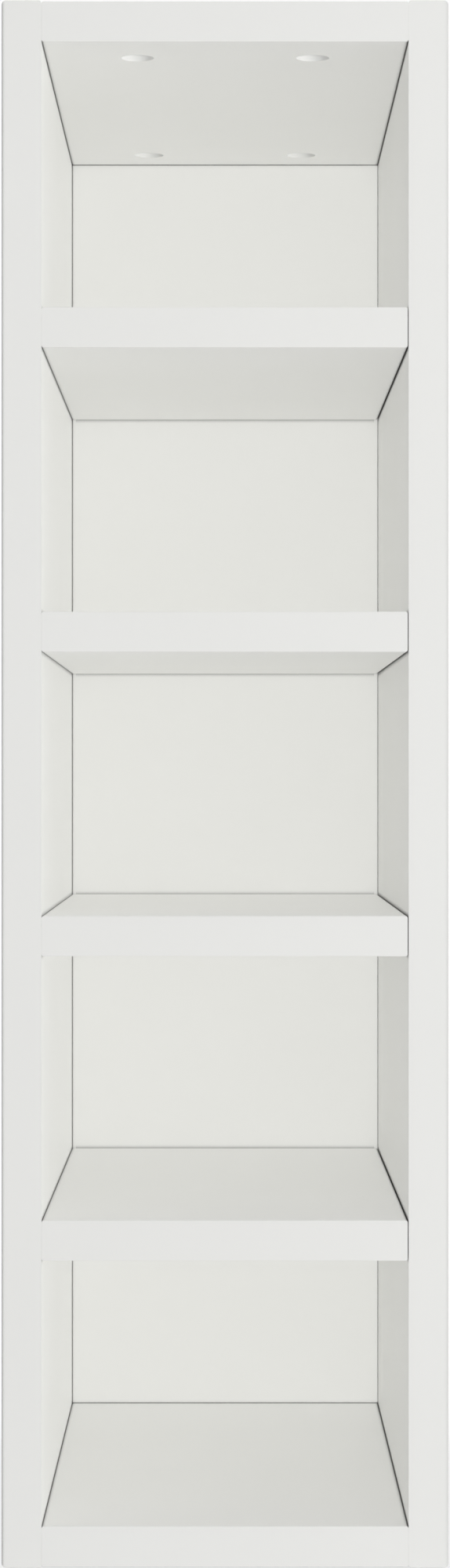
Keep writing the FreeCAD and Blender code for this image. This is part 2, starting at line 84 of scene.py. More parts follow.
# How far the lacquer goes round the edge of the back, and a hair that keeps a mask off a face
LACQUERED_EDGE = 0.004
FACE_MARGIN = 0.0002

# Each squaring makes a normal turn more quickly within a round
SQUARINGS = 3
# A face is upright where its normal rises less than this
UPRIGHT_RISE = 0.5
# Samples that find the soft edges, and the painted shade in the joints and on the floor
EDGE_SAMPLES = 4
JOINT_SAMPLES = 8
SHADE_SAMPLES = 16

# Rows of fittings in most boards, and of dowels down the back
FITTING_ROWS = 2
BACK_DOWEL_ROWS = 3

WHITE = (1.0, 1.0, 1.0, 1.0)
BLACK = (0.0, 0.0, 0.0, 1.0)
X_AXIS = (1.0, 0.0, 0.0)
Y_AXIS = (0.0, 1.0, 0.0)
Z_AXIS = (0.0, 0.0, 1.0)
QUARTER_TURN = math.pi / 2


def nodes_in_slot(slot):
    """Names the frame's nodes that take their finish from this material slot."""
    return [part["node"] for part in frame["record"]["subparts"] if part["material_slot"] == slot]


# Settings that a user would change

def length(name, description, default):
    """A size in metres."""
    return FloatProperty(name=name, description=description, default=default, min=0.0, precision=5,
                         unit="LENGTH")


def share(name, description, default):
    """A number from 0 to 1."""
    return FloatProperty(name=name, description=description, default=default, min=0.0, max=1.0,
                         subtype="FACTOR")


def amount(name, description, default):
    """A plain number that is never negative."""
    return FloatProperty(name=name, description=description, default=default, min=0.0)


def power(name, description, default):
    """The power of a lamp in watts."""
    return FloatProperty(name=name, description=description, default=default, min=0.0, unit="POWER")


def count(name, description, default, least):
    """A whole number."""
    return IntProperty(name=name, description=description, default=default, min=least)


def colour(name, description, default):
    """A linear colour."""
    return FloatVectorProperty(name=name, description=description, default=default, size=3,
                               min=0.0, max=1.0, subtype="COLOR")


class LacquerLook(bpy.types.PropertyGroup):
    """Finish of the white boards."""
    white: colour("White", "Colour of the lacquer", (0.800, 0.800, 0.783))
    tint: colour("Tint", "Colour of the lacquer where the coat is a little thicker", (0.790, 0.790, 0.770))
    sheen: share("Roughness", "How matt the satin lacquer is", 0.42)
    sheen_change: share("Roughness Change", "How much the sheen differs from place to place", 0.08)
    cloud_size: length("Cloud Size", "Size of the patches where tone and sheen drift", 0.09)
    peel_size: length("Peel Size", "Size of the ripples that a sprayed coat leaves", 0.0022)
    peel_height: length("Peel Height", "Height of those ripples", 0.000012)
    edge_round: length("Edge Round", "Softening of the sharp edges by the coat", 0.00025)
    core: colour("Core", "Colour of the bare board inside a pocket", (0.42, 0.30, 0.19))
    core_dark: colour("Dark Core", "Colour of the dark chips in the bare board", (0.22, 0.14, 0.08))
    chip_size: length("Chip Size", "Size of the chips in the bare board", 0.0016)
    # Painted light: the upright walls of the cam holes get this whiter colour in place of the light that reaches
    # into them
    primer: colour("Primer", "Colour of the primer inside the cam holes", (0.87, 0.87, 0.85))
    primer_reach: length("Primer Reach", "How far from a cam nut's axis the primer shows", 0.0076)
    # Painted shade: ambient occlusion darkens the coat towards the joint shade colour in joints and creases
    joint_reach: length("Joint Reach", "How far from a joint its shade spreads", 0.002)
    joint_fade: amount("Joint Fade", "How strongly the shade follows the depth of a joint", 0.78)
    # The right ends have play, and their joints are also painted darker as the shadow of the right side
    loose_fade: amount("Loose Joint Fade", "How much stronger it is at the loose right ends", 0.70)
    tight_fade: amount("Tight Joint Fade", "How much weaker it is round the tightly fitted back", 0.68)
    # The joint shade colour is painted shade, not bare board
    joint_shade: colour("Joint Shade", "Colour deep in a joint, where no coat is", (0.010, 0.010, 0.009))


class MetalLook(bpy.types.PropertyGroup):
    """Finish of the metal fittings."""
    cast_zinc: colour("Cast Zinc", "Colour of the cam nuts", (0.52, 0.53, 0.54))
    cast_roughness: share("Cast Roughness", "How matt the cast nuts are", 0.46)
    cast_dull: colour("Dull Zinc", "Colour of the blotches on the cam nuts", (0.416, 0.424, 0.432))
    cast_grain: length("Cast Grain", "Size of the grain on a cast face", 0.0004)
    cast_blotch: length("Cast Blotch", "Size of the blotches on a cast face", 0.0024)
    plating: colour("Plating", "Colour of the zinc plating on steel", (0.60, 0.61, 0.62))
    plating_tint: colour("Plating Tint", "Colour of the plating where it is thicker", (0.54, 0.56, 0.60))
    plating_roughness: share("Plating Roughness", "How matt the plating is", 0.30)
    plating_drift: length("Plating Drift", "Size of the patches where the plating changes tone", 0.005)
    mark_size: length("Mark Size", "Width of the fine marks left by rolling and turning", 0.0002)


class DowelSizes(bpy.types.PropertyGroup):
    """Sizes and finish of the wooden dowels."""
    length: length("Length", "Length of a dowel", 0.030)
    bevel: length("Bevel", "Bevel at each end", 0.001)
    flutes: count("Flutes", "Grooves round a dowel", 20, 3)
    flute_depth: length("Flute Depth", "Depth of a groove", 0.00035)
    beech: colour("Beech", "Colour of the wood", (0.60, 0.40, 0.22))
    beech_dark: colour("Dark Beech", "Colour of its growth lines and flecks", (0.44, 0.26, 0.12))
    beech_roughness: share("Roughness", "How matt the raw wood is", 0.62)
    line_size: length("Line Size", "Distance between growth lines", 0.0009)
    line_height: length("Line Height", "Height of the growth lines", 0.00006)
    fleck_size: length("Fleck Size", "Width of a dark fleck", 0.00035)


class BoltSizes(bpy.types.PropertyGroup):
    """Sizes of the bolts that the cam nuts hold."""
    ball_radius: length("Ball Radius", "Radius of the ball that the cam nut holds", 0.0028)
    ball_reach: length("Ball Reach", "From the cam nut's axis to the middle of the ball", 0.0014)
    neck_radius: length("Neck Radius", "Radius of the neck in the cam nut's track", 0.0016)
    neck_end: length("Neck End", "From the cam nut's axis to the end of the neck", 0.008)
    shank_radius: length("Shank Radius", "Radius of the plain shank", 0.003)
    collar_radius: length("Collar Radius", "Radius of the collar against the side", 0.0037)
    collar_length: length("Collar Length", "Length of the collar", 0.002)
    thread_radius: length("Thread Radius", "Radius over the thread", 0.003)
    core_radius: length("Core Radius", "Radius under the thread", 0.0022)
    pitch: length("Pitch", "Distance between two turns of the thread", 0.0025)
    tip: length("Tip", "Length of the tapered tip", 0.0008)


class ScrewSizes(bpy.types.PropertyGroup):
    """Sizes of the countersunk screws that hold the hanger plates."""
    length: length("Length", "Length with the head", 0.014)
    head_radius: length("Head Radius", "Radius of the countersunk head", 0.0036)
    thread_radius: length("Thread Radius", "Radius over the thread", 0.00175)
    core_radius: length("Core Radius", "Radius under the thread", 0.0012)
    pitch: length("Pitch", "Distance between two turns of the thread", 0.0014)
    tip: length("Tip", "Length of the pointed tip", 0.0025)
    recess_length: length("Recess Length", "Length of each arm of the cross", 0.004)
    recess_width: length("Recess Width", "Width of each arm of the cross", 0.0009)
    recess_depth: length("Recess Depth", "Depth of the cross", 0.0009)
    seed: count("Seed", "Seed for how far each screw is turned", 3, 0)


class StudioSettings(bpy.types.PropertyGroup):
    """Camera, light and floor."""
    camera_distance: length("Camera Distance", "From the camera to the front of the rack", 1.618)
    view_height: length("View Height", "Height of the picture at the front of the rack", 0.7005)
    sensor: amount("Sensor", "Long side of the sensor in millimetres", 36.0)
    surround: amount("Surround", "Brightness of the room around the rack", 0.508)
    key_power: power("Key Power", "Power of the soft lamp at the front right", 84.6)
    key_side: length("Key Side", "How far to the right the soft lamp stands", 2.7)
    key_front: length("Key Front", "How far in front the soft lamp stands", 2.9)
    key_size: length("Key Size", "Width of the soft lamp and of the weak one", 1.6)
    side_power: power("Side Power", "Power of the weak lamp far to the right", 8.0)
    side_reach: length("Side Reach", "How far to the right the weak lamp stands", 3.0)
    side_front: length("Side Front", "How far in front the weak lamp stands", 1.0)
    left_fill: amount("Left Fill", "Fill light from the left", 0.23)
    top_fill: amount("Top Fill", "Fill light from above", 0.64)
    base_fill: amount("Base Fill", "Fill light from below", 0.57)
    rear_fill: amount("Rear Fill", "Fill light from behind", 0.9)
    floor_white: colour("Floor", "Colour of the floor", (0.70, 0.70, 0.70))
    # The rack's shade on the floor is painted: ambient occlusion darkens the floor's glow towards this colour
    floor_shade: colour("Floor Shade", "Colour of the rack's shade on the floor", (0.72, 0.72, 0.72))
    floor_reach: length("Floor Reach", "Half the width of the floor", 20.0)
    floor_drop: length("Floor Drop", "Gap that keeps the floor from shading the rack's edges", 0.002)
    shade_reach: length("Shade Reach", "How far the shade spreads", 0.12)


class RackSettings(bpy.types.PropertyGroup):
    """All the settings of the rack."""
    lacquer: PointerProperty(type=LacquerLook)
    metal: PointerProperty(type=MetalLook)
    dowels: PointerProperty(type=DowelSizes)
    bolts: PointerProperty(type=BoltSizes)
    screws: PointerProperty(type=ScrewSizes)
    studio: PointerProperty(type=StudioSettings)


# Node trees

class Value:
    """One output of a node. Arithmetic on it adds Math nodes to its tree."""

    def __init__(self, tree, socket):
        self.tree = tree
        self.socket = socket

    def output(self, name):
        """Another output of the same node."""
        return Value(self.tree, self.socket.node.outputs[name])

    def math(self, operation, *operands):
        """A Math node on these operands."""
        return self.tree.node("ShaderNodeMath", {"operation": operation}, dict(enumerate(operands)))

    def __add__(self, other):
        return self.math("ADD", self, other)

    def __sub__(self, other):
        return self.math("SUBTRACT", self, other)

    def __rsub__(self, other):
        return self.math("SUBTRACT", other, self)

    def __mul__(self, other):
        return self.math("MULTIPLY", self, other)

    def __truediv__(self, other):
        return self.math("DIVIDE", self, other)

    def __rtruediv__(self, other):
        return self.math("DIVIDE", other, self)

    def __pow__(self, other):
        return self.math("POWER", self, other)

    def __rpow__(self, other):
        return self.math("POWER", other, self)

    __radd__ = __add__
    __rmul__ = __mul__


class Tree:
    """A node tree that is being built."""

    def __init__(self, node_tree):
        self.node_tree = node_tree
        node_tree.nodes.clear()

    def node(self, kind, settings=None, inputs=None, output=0):
        """Adds a node, makes its settings, then sets or links its sockets. Gives one of its outputs."""
        made = self.node_tree.nodes.new(kind)
        for name, setting in (settings or {}).items():
            if name == "stops":
                set_stops(made.color_ramp, setting)
            else:
                setattr(made, name, setting)
        for name, given in (inputs or {}).items():
            if isinstance(given, Value):
                self.node_tree.links.new(given.socket, made.inputs[name])
            else:
                made.inputs[name].default_value = given
        return Value(self, made.outputs[output]) if made.outputs else None

    def mix(self, factor, first, second):
        """Mixes two colours."""
        factor_socket, first_socket, second_socket, result = 0, 6, 7, 2
        return self.node("ShaderNodeMix", {"data_type": "RGBA"},
                         {factor_socket: factor, first_socket: first, second_socket: second}, result)

    def vector(self, operation, *operands):
        """A Vector Math node on these operands."""
        return self.node("ShaderNodeVectorMath", {"operation": operation}, dict(enumerate(operands)))

    def noise(self, place, size, detail=2.0, roughness=0.5):
        """Soft noise whose patches have about this size."""
        inputs = {"Vector": place, "Scale": 1.0 / size, "Detail": detail, "Roughness": roughness}
        return self.node("ShaderNodeTexNoise", {"noise_dimensions": "3D"}, inputs, "Fac")

    def scaled(self, place, scales):
        """A place for a pattern that is drawn out along the axes with a small scale."""
        return self.node("ShaderNodeMapping", {"vector_type": "POINT"}, {"Vector": place, "Scale": scales})

    def split(self, vector):
        """The X of a vector. Its Y and Z are other outputs of the same node."""
        return self.node("ShaderNodeSeparateXYZ", None, {"Vector": vector})

    def bump(self, height, strength, distance, normal=None):
        """A normal tilted by a pattern of heights: the face's own one, unless another is given."""
        inputs = {"Strength": strength, "Distance": distance, "Height": height}
        if normal:
            inputs["Normal"] = normal
        return self.node("ShaderNodeBump", None, inputs)

    def openness(self, reach, samples):
        """How open a place is to its surroundings: 1 where nothing is within reach."""
        return self.node("ShaderNodeAmbientOcclusion", {"samples": samples}, {"Distance": reach}, "AO")

    def blend(self, factor, first, second):
        """Mixes two shaders."""
        factor_socket, first_socket, second_socket = 0, 1, 2
        return self.node("ShaderNodeMixShader", None,
                         {factor_socket: factor, first_socket: first, second_socket: second})


def set_stops(ramp, stops):
    """Gives a colour ramp its stops."""
    while len(ramp.elements) < len(stops):
        ramp.elements.new(1.0)
    for element, (position, shade) in zip(ramp.elements, stops):
        element.position = position
        element.color = shade


def opaque(rgb):
    """A colour with full alpha."""
    return (*rgb, 1.0)


def new_material(name):
    """Starts a material. Gives it, its tree and the place on the piece in metres."""
    material = bpy.data.materials.new(name)
    material.use_nodes = True
    tree = Tree(material.node_tree)
    place = tree.node("ShaderNodeTexCoord", output="Object")
    return material, tree, place


def end_material(tree, shader):
    """Links a shader to the material's output."""
    tree.node("ShaderNodeOutputMaterial", inputs={"Surface": shader})


# Finishes

def varied(middle, pattern, spread):
    """A number that follows a pattern of 0 to 1 about a middle value."""
    return middle + (pattern - 0.5) * spread


def board_painted_shade_fade(x, look):
    """Strength of the painted shade in the joints of sides and level boards: more at the right ends, for their
    play and a painted shadow.
    """
    right_end = x.math("GREATER_THAN", x, INNER_WALL - look.joint_reach)
    before_back = x.math("LESS_THAN", x.output("Y"), BACK_FACE - look.joint_reach)
    return look.joint_fade + right_end * before_back * look.loose_fade


def back_painted_shade_fade(x, look):
    """Strength of the painted shade in the joints of the back: less round its rim."""
    low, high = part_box(BACK)
    rim = (x.math("LESS_THAN", x, low.x + look.joint_reach)
           + x.math("GREATER_THAN", x, high.x - look.joint_reach)
           + x.math("LESS_THAN", x.output("Z"), low.z + look.joint_reach)
           + x.math("GREATER_THAN", x.output("Z"), high.z - look.joint_reach))
    return look.joint_fade - x.math("MINIMUM", rim, 1.0) * look.tight_fade


def bare_pockets(tree, place, coat, look):
    """Leaves the board bare inside the back, behind the keyhole plates."""
    x = tree.split(place)
    chips = tree.noise(place, look.chip_size, detail=3.0, roughness=0.7)
    deep = x.math("GREATER_THAN", x.output("Y"), BACK_FACE + LACQUERED_EDGE)
    bare = deep * x.math("LESS_THAN", x.output("Y"), PLATE_BED - FACE_MARGIN)
    return tree.mix(bare, coat, tree.mix(chips, opaque(look.core), opaque(look.core_dark)))


def paint_light_on_hole_walls(tree, place, coat, look):
    """Paints the upright walls of the cam holes lighter, as painted light that stands in for the light reaching
    into them.
    """
    front_row, rear_row = CAM_ROWS
    row_middle = (front_row + rear_row) / 2
    row_reach = (rear_row - front_row) / 2
    x = tree.split(place)
    across = x.math("ABSOLUTE", x) - CAM_AXIS
    along = x.math("ABSOLUTE", x.output("Y") - row_middle) - row_reach
    near = x.math("LESS_THAN", across * across + along * along, look.primer_reach ** 2)
    rise = tree.split(tree.node("ShaderNodeTexCoord", output="Normal")).output("Z")
    upright = rise.math("LESS_THAN", rise.math("ABSOLUTE", rise), UPRIGHT_RISE)
    return tree.mix(near * upright, coat, opaque(look.primer))


def crisp_normal(tree, x):
    """A normal that makes most of its turn in one place of a round, so that the round looks crisp.

    On the right side, which the lamps face, that place is nearer to the outer face.
    """
    front_weight = 1 + x.math("GREATER_THAN", x, 0.0)
    weights = tree.node("ShaderNodeCombineXYZ", None, {"X": 1.0, "Y": front_weight, "Z": 1.0})
    normal = tree.vector("MULTIPLY", tree.node("ShaderNodeTexCoord", output="Normal"), weights)
    steep = normal
    for _ in range(SQUARINGS):
        steep = tree.vector("MULTIPLY", steep, steep)
    return tree.vector("NORMALIZE", tree.vector("MULTIPLY", steep, normal))


def lacquer_material(name, look, joint_fade, bare_or_painted_light=None, crisp=False):
    """Satin white lacquer: a faint drift of tone and sheen, sprayed ripples, soft edges and painted shade in the
    joints.
    """
    material, tree, place = new_material(name)
    cloud = tree.noise(place, look.cloud_size, detail=3.0)
    peel = tree.noise(place, look.peel_size, detail=1.0)
    x = tree.split(place)
    edge = {"Radius": look.edge_round}
    if crisp:
        edge["Normal"] = crisp_normal(tree, x)
    soft_edge = tree.node("ShaderNodeBevel", {"samples": EDGE_SAMPLES}, edge)
    openness = tree.openness(look.joint_reach, JOINT_SAMPLES)
    coat = tree.mix(cloud, opaque(look.white), opaque(look.tint))
    # Bare board in the pockets, or painted light on the cam holes' walls
    if bare_or_painted_light:
        coat = bare_or_painted_light(tree, place, coat, look)
    shader = tree.node("ShaderNodeBsdfPrincipled", None, {
        # Painted shade: the base colour darkens towards the joint shade where ambient occlusion finds faces near
        # by
        "Base Color": tree.mix(openness ** joint_fade(x, look), opaque(look.joint_shade), coat),
        "Roughness": varied(look.sheen, cloud, look.sheen_change),
        "Normal": tree.bump(peel, strength=1.0, distance=look.peel_height, normal=soft_edge),
    })
    end_material(tree, shader)
    return material


# How many times wider than high the grain and marks on metal are
GRAIN_FLATNESS = 20


def cast_zinc_material(look):
    """Die-cast zinc: matt, grainy and a little blotched."""
    material, tree, place = new_material("cast_zinc_finish")
    blotch = tree.noise(place, look.cast_blotch, detail=3.0)
    grain = tree.noise(place, look.cast_grain, detail=2.0)
    shader = tree.node("ShaderNodeBsdfPrincipled", None, {
        "Base Color": tree.mix(blotch, opaque(look.cast_zinc), opaque(look.cast_dull)),
        "Metallic": 1.0,
        "Roughness": varied(look.cast_roughness, blotch, spread=0.2),
        "Normal": tree.bump(grain, strength=0.6, distance=look.cast_grain / GRAIN_FLATNESS),
    })
    end_material(tree, shader)
    return material


# Which way the marks on plated steel are drawn out, as scales of the pattern along the axes
MARK_SCALE = 0.04
ROLLED_UPRIGHT = (1.0, 1.0, MARK_SCALE)
TURNED_ABOUT_X = (1.0, MARK_SCALE, MARK_SCALE)
TURNED_ABOUT_Y = (MARK_SCALE, 1.0, MARK_SCALE)


def plated_steel_material(name, look, mark_scales):
    """Zinc-plated steel: a soft bluish drift of tone, and fine marks drawn out along some axes."""
    drift_dulls = 0.06
    material, tree, place = new_material(name)
    drift = tree.noise(place, look.plating_drift, detail=2.0)
    marks = tree.noise(tree.scaled(place, mark_scales), look.mark_size, detail=3.0)
    shader = tree.node("ShaderNodeBsdfPrincipled", None, {
        "Base Color": tree.mix(drift, opaque(look.plating), opaque(look.plating_tint)),
        "Metallic": 1.0,
        "Roughness": varied(look.plating_roughness, marks, spread=0.2) + drift * drift_dulls,
        "Normal": tree.bump(marks, strength=0.3, distance=look.mark_size / GRAIN_FLATNESS),
    })
    end_material(tree, shader)
    return material


# The grain of the dowels runs along X, and only the peaks of the fleck pattern are dark
GRAIN_SCALES = (0.06, 1.0, 1.0)
FLECK_STOPS = ((0.60, BLACK), (0.72, WHITE))


def beech_material(look):
    """Raw beech with its grain along the dowels: growth lines and short dark flecks."""
    material, tree, place = new_material("beech_finish")
    along_grain = tree.scaled(place, GRAIN_SCALES)
    lines = tree.noise(along_grain, look.line_size, detail=4.0, roughness=0.6)
    flecks = tree.noise(along_grain, look.fleck_size, detail=1.0)
    fleck_mask = tree.node("ShaderNodeValToRGB", {"stops": FLECK_STOPS}, {"Fac": flecks})
    wood = tree.mix(lines, opaque(look.beech), opaque(look.beech_dark))
    shader = tree.node("ShaderNodeBsdfPrincipled", None, {
        "Base Color": tree.mix(fleck_mask, wood, opaque(look.beech_dark)),
        "Roughness": varied(look.beech_roughness, lines, spread=0.2),
        "Normal": tree.bump(lines, strength=0.5, distance=look.line_height),
    })
    end_material(tree, shader)
    return material


def finish_nodes(names, material):
    """Gives frame nodes their finish."""
    for name in names:
        for slot in frame["nodes"][name].material_slots:
            slot.material = material


# Meshes of turned fittings

# How finely a thread is modelled
RINGS_PER_TURN = 10


def thread_radius_at(core, crest, pitch, start, end):
    """Gives the radius of a screw thread at an angle and a place along it. It fades out at both ends."""
    crest_turn = 0.5
    steepness = 3.0

    def radius(angle, place):
        turn = (place / pitch - angle / math.tau) % 1.0
        ridge = max(0.0, 1.0 - abs(turn - crest_turn) * steepness)
        fade = min(1.0, (place - start) / pitch, (end - place) / pitch)
        return core + (crest - core) * ridge * max(0.0, fade)
    return radius


def steady(radius):
    """Gives the radius of a plain turned stretch."""
    return lambda angle, place: radius


def turned_mesh(name, rings, sides):
    """A closed mesh turned about the X axis, from rings of (place along the axis, radius at an angle)."""
    mesh = bmesh.new()
    loops = []
    for place, radius in rings:
        loop = []
        for step in range(sides):
            angle = math.tau * step / sides
            reach = radius(angle, place)
            loop.append(mesh.verts.new((place, reach * math.cos(angle), reach * math.sin(angle))))
        loops.append(loop)
    for near, far in zip(loops, loops[1:]):
        for step in range(sides):
            after = (step + 1) % sides
            mesh.faces.new((near[step], near[after], far[after], far[step]))
    mesh.faces.new(loops[0])
    mesh.faces.new(loops[-1])
    bmesh.ops.recalc_face_normals(mesh, faces=mesh.faces)
    made = bpy.data.meshes.new(name)
    mesh.to_mesh(made)
    mesh.free()
    return made


def cam_bolt_mesh(bolt, tip_end):
    """One bolt along X, measured from the cam nut's axis: ball, neck, shank, collar, thread and tip."""
    sides = 32
    ball_steps = 10
    side_face = INNER_WALL - CAM_AXIS
    tip_start = tip_end - bolt.tip
    junction = math.asin(bolt.neck_radius / bolt.ball_radius)
    pole = 0.02
    rings = []
    for step in range(ball_steps + 1):
        angle = math.pi - pole - (math.pi - pole - junction) * step / ball_steps
        place = bolt.ball_reach + bolt.ball_radius * math.cos(angle)
        rings.append((place, steady(bolt.ball_radius * math.sin(angle))))
    collar_start = side_face - bolt.collar_length
    for place, radius in (
        (bolt.neck_end, bolt.neck_radius),
        (bolt.neck_end, bolt.shank_radius),
        (collar_start, bolt.shank_radius),
        (collar_start, bolt.collar_radius),
        (side_face, bolt.collar_radius),
        (side_face, bolt.core_radius),
    ):
        rings.append((place, steady(radius)))
    thread = thread_radius_at(bolt.core_radius, bolt.thread_radius, bolt.pitch, side_face, tip_start)
    steps = round((tip_start - side_face) / bolt.pitch * RINGS_PER_TURN)
    for step in range(1, steps + 1):
        rings.append((side_face + (tip_start - side_face) * step / steps, thread))
    rings.append((tip_end, steady(bolt.core_radius - bolt.tip / 2)))
    return turned_mesh("cam_bolt", rings, sides)


def hanger_screw_mesh(screw):
    """One countersunk screw along X, its head's face at the origin and its tip towards -X."""
    sides = 24
    point_radius = screw.core_radius / 8
    head_depth = screw.head_radius - screw.thread_radius
    tip_start = -screw.length + screw.tip
    thread = thread_radius_at(screw.core_radius, screw.thread_radius, screw.pitch, tip_start, -head_depth)
    rings = [(-screw.length, steady(point_radius))]
    steps = round((-head_depth - tip_start) / screw.pitch * RINGS_PER_TURN)
    for step in range(steps + 1):
        rings.append((tip_start + (-head_depth - tip_start) * step / steps, thread))
    rings.append((-head_depth, steady(screw.thread_radius)))
    rings.append((0.0, steady(screw.head_radius)))
    return turned_mesh("hanger_screw", rings, sides)


# Geometry trees that repeat the fittings

PLACING = {"Across": "Float", "Along": "Float", "Rows": "Int", "Centre": "Vector", "Material": "Material"}


def new_geometry_tree(name, inputs):
    """Starts a geometry tree from its inputs' names and types. Gives the tree and its inputs."""
    group = bpy.data.node_groups.new(name, "GeometryNodeTree")
    group.interface.new_socket("Geometry", in_out="OUTPUT", socket_type="NodeSocketGeometry")
    for input_name, kind in inputs.items():
        group.interface.new_socket(input_name, in_out="INPUT", socket_type=f"NodeSocket{kind}")
    tree = Tree(group)
    given = tree.node("NodeGroupInput")
    return tree, {input_name: given.output(input_name) for input_name in inputs}


def turned(tree, axis, angle):
    """A turn about an axis."""
    return tree.node("FunctionNodeAxisAngleToRotation", None, {"Axis": axis, "Angle": angle})


def set_out(tree, given, fitting, tilt, facing):
    """Repeats a fitting on a grid of points about the centre, then makes one plain mesh in one material."""
    columns = 2
    points = tree.node("GeometryNodeMeshGrid", None, {
        "Size X": given["Across"], "Size Y": given["Along"],
        "Vertices X": columns, "Vertices Y": given["Rows"]})
    fittings = tree.node("GeometryNodeInstanceOnPoints", None,
                         {"Points": points, "Instance": fitting, "Rotation": facing})
    placed = tree.node("GeometryNodeTransform", None,
                       {"Geometry": fittings, "Translation": given["Centre"], "Rotation": tilt})
    real = tree.node("GeometryNodeRealizeInstances", None, {"Geometry": placed})
    finished = tree.node("GeometryNodeSetMaterial", None, {"Geometry": real, "Material": given["Material"]})
    tree.node("NodeGroupOutput", inputs={"Geometry": finished})


def dowel_tree():
    """Fluted dowels with bevelled ends, lying along X in rows at the left and right."""
    sides_per_flute = 4
    tree, given = new_geometry_tree("Fluted dowels", {
        "Radius": "Float", "Length": "Float", "Bevel": "Float", "Flutes": "Int", "Flute Depth": "Float",
        "Tilt": "Float", **PLACING})
    shape = tree.node("GeometryNodeMeshCylinder", {"fill_type": "NGON"}, {
        "Vertices": given["Flutes"] * sides_per_flute, "Radius": given["Radius"],
        "Depth": given["Length"] - given["Bevel"] * 2})
    for end in (shape.output("Top"), shape.output("Bottom")):
        raised = tree.node("GeometryNodeExtrudeMesh", {"mode": "FACES"}, {
            "Mesh": shape, "Selection": end, "Offset Scale": given["Bevel"], "Individual": False})
        narrowing = 1 - given["Bevel"] / given["Radius"]
        shape = tree.node("GeometryNodeScaleElements", {"domain": "FACE"}, {
            "Geometry": raised, "Selection": raised.output("Top"), "Scale": narrowing})
    x = tree.split(tree.node("GeometryNodeInputPosition"))
    y = x.output("Y")
    phase = y.math("ARCTAN2", y, x) * given["Flutes"]
    groove = phase.math("MAXIMUM", phase.math("COSINE", phase), 0.0)
    depth = groove * given["Flute Depth"] / given["Radius"]
    inward = tree.node("ShaderNodeCombineXYZ", None, {"X": 0 - x * depth, "Y": 0 - y * depth})
    fluted = tree.node("GeometryNodeSetPosition", None, {"Geometry": shape, "Offset": inward})
    lying = tree.node("GeometryNodeTransform", None,
                      {"Geometry": fluted, "Rotation": turned(tree, Y_AXIS, QUARTER_TURN)})
    set_out(tree, given, lying, turned(tree, X_AXIS, given["Tilt"]), turned(tree, X_AXIS, 0.0))
    return tree.node_tree


def mirrored_bolt_tree():
    """Repeats one bolt in rows at the right and, turned round, at the left."""
    tree, given = new_geometry_tree("Mirrored bolts", {"Geometry": "Geometry", **PLACING})
    across = tree.split(tree.node("GeometryNodeInputPosition"))
    half_turn = across.math("LESS_THAN", across, 0.0) * math.pi
    set_out(tree, given, given["Geometry"], turned(tree, X_AXIS, 0.0), turned(tree, Z_AXIS, half_turn))
    return tree.node_tree


def recessed_screw_tree():
    """Cuts a cross in a screw's head and repeats the screw, each one stopped at its own angle."""
    tree, given = new_geometry_tree("Recessed screws", {
        "Geometry": "Geometry", "Recess Length": "Float", "Recess Width": "Float", "Recess Depth": "Float",
        "Seed": "Int", **PLACING})
    arms = []
    for across, along in (("Recess Length", "Recess Width"), ("Recess Width", "Recess Length")):
        size = tree.node("ShaderNodeCombineXYZ", None,
                         {"X": given["Recess Depth"] * 2, "Y": given[across], "Z": given[along]})
        arms.append(tree.node("GeometryNodeMeshCube", None, {"Size": size}))
    base, tools = 0, 1
    cross = tree.node("GeometryNodeMeshBoolean", {"operation": "UNION", "solver": "EXACT"},
                      {tools: arms[0]})
    tree.node_tree.links.new(arms[1].socket, cross.socket.node.inputs[tools])
    cut = tree.node("GeometryNodeMeshBoolean", {"operation": "DIFFERENCE", "solver": "EXACT"},
                    {base: given["Geometry"], tools: cross})
    least, most, result = 2, 3, 1
    spin = tree.node("FunctionNodeRandomValue", {"data_type": "FLOAT"},
                     {least: 0.0, most: QUARTER_TURN, "Seed": given["Seed"]}, result)
    facing = tree.node("FunctionNodeRotateRotation", {"rotation_space": "LOCAL"}, {
        "Rotation": turned(tree, Y_AXIS, QUARTER_TURN), "Rotate By": turned(tree, X_AXIS, spin)})
    set_out(tree, given, cut, turned(tree, X_AXIS, QUARTER_TURN), facing)
    return tree.node_tree


# A bend of more than this shows as an edge
SHARP_ANGLE = math.radians(28)


def grow(name, group, values, mesh=None):
    """Runs a geometry tree on a new piece and keeps the result as its plain mesh."""
    piece = bpy.data.objects.new(name, mesh or bpy.data.meshes.new(name))
    bpy.context.scene.collection.objects.link(piece)
    modifier = piece.modifiers.new("Shape", "NODES")
    modifier.node_group = group
    for item in group.interface.items_tree:
        if item.in_out == "INPUT" and item.name in values:
            modifier[item.identifier] = values[item.name]
    depsgraph = bpy.context.evaluated_depsgraph_get()
    grown = bpy.data.meshes.new_from_object(piece.evaluated_get(depsgraph))
    piece.modifiers.remove(modifier)
    piece.data = grown
    if not grown.polygons:
        raise RuntimeError(f"{name} came out empty")
    grown.name = name
    grown.shade_smooth()
    grown.set_sharp_from_angle(angle=SHARP_ANGLE)
    return piece


def stand_in_for(piece, node):
    """Lets a finished piece ride on the rack in place of a frame node."""
    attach(piece, RACK_BODY)
    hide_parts(node)


# Operators

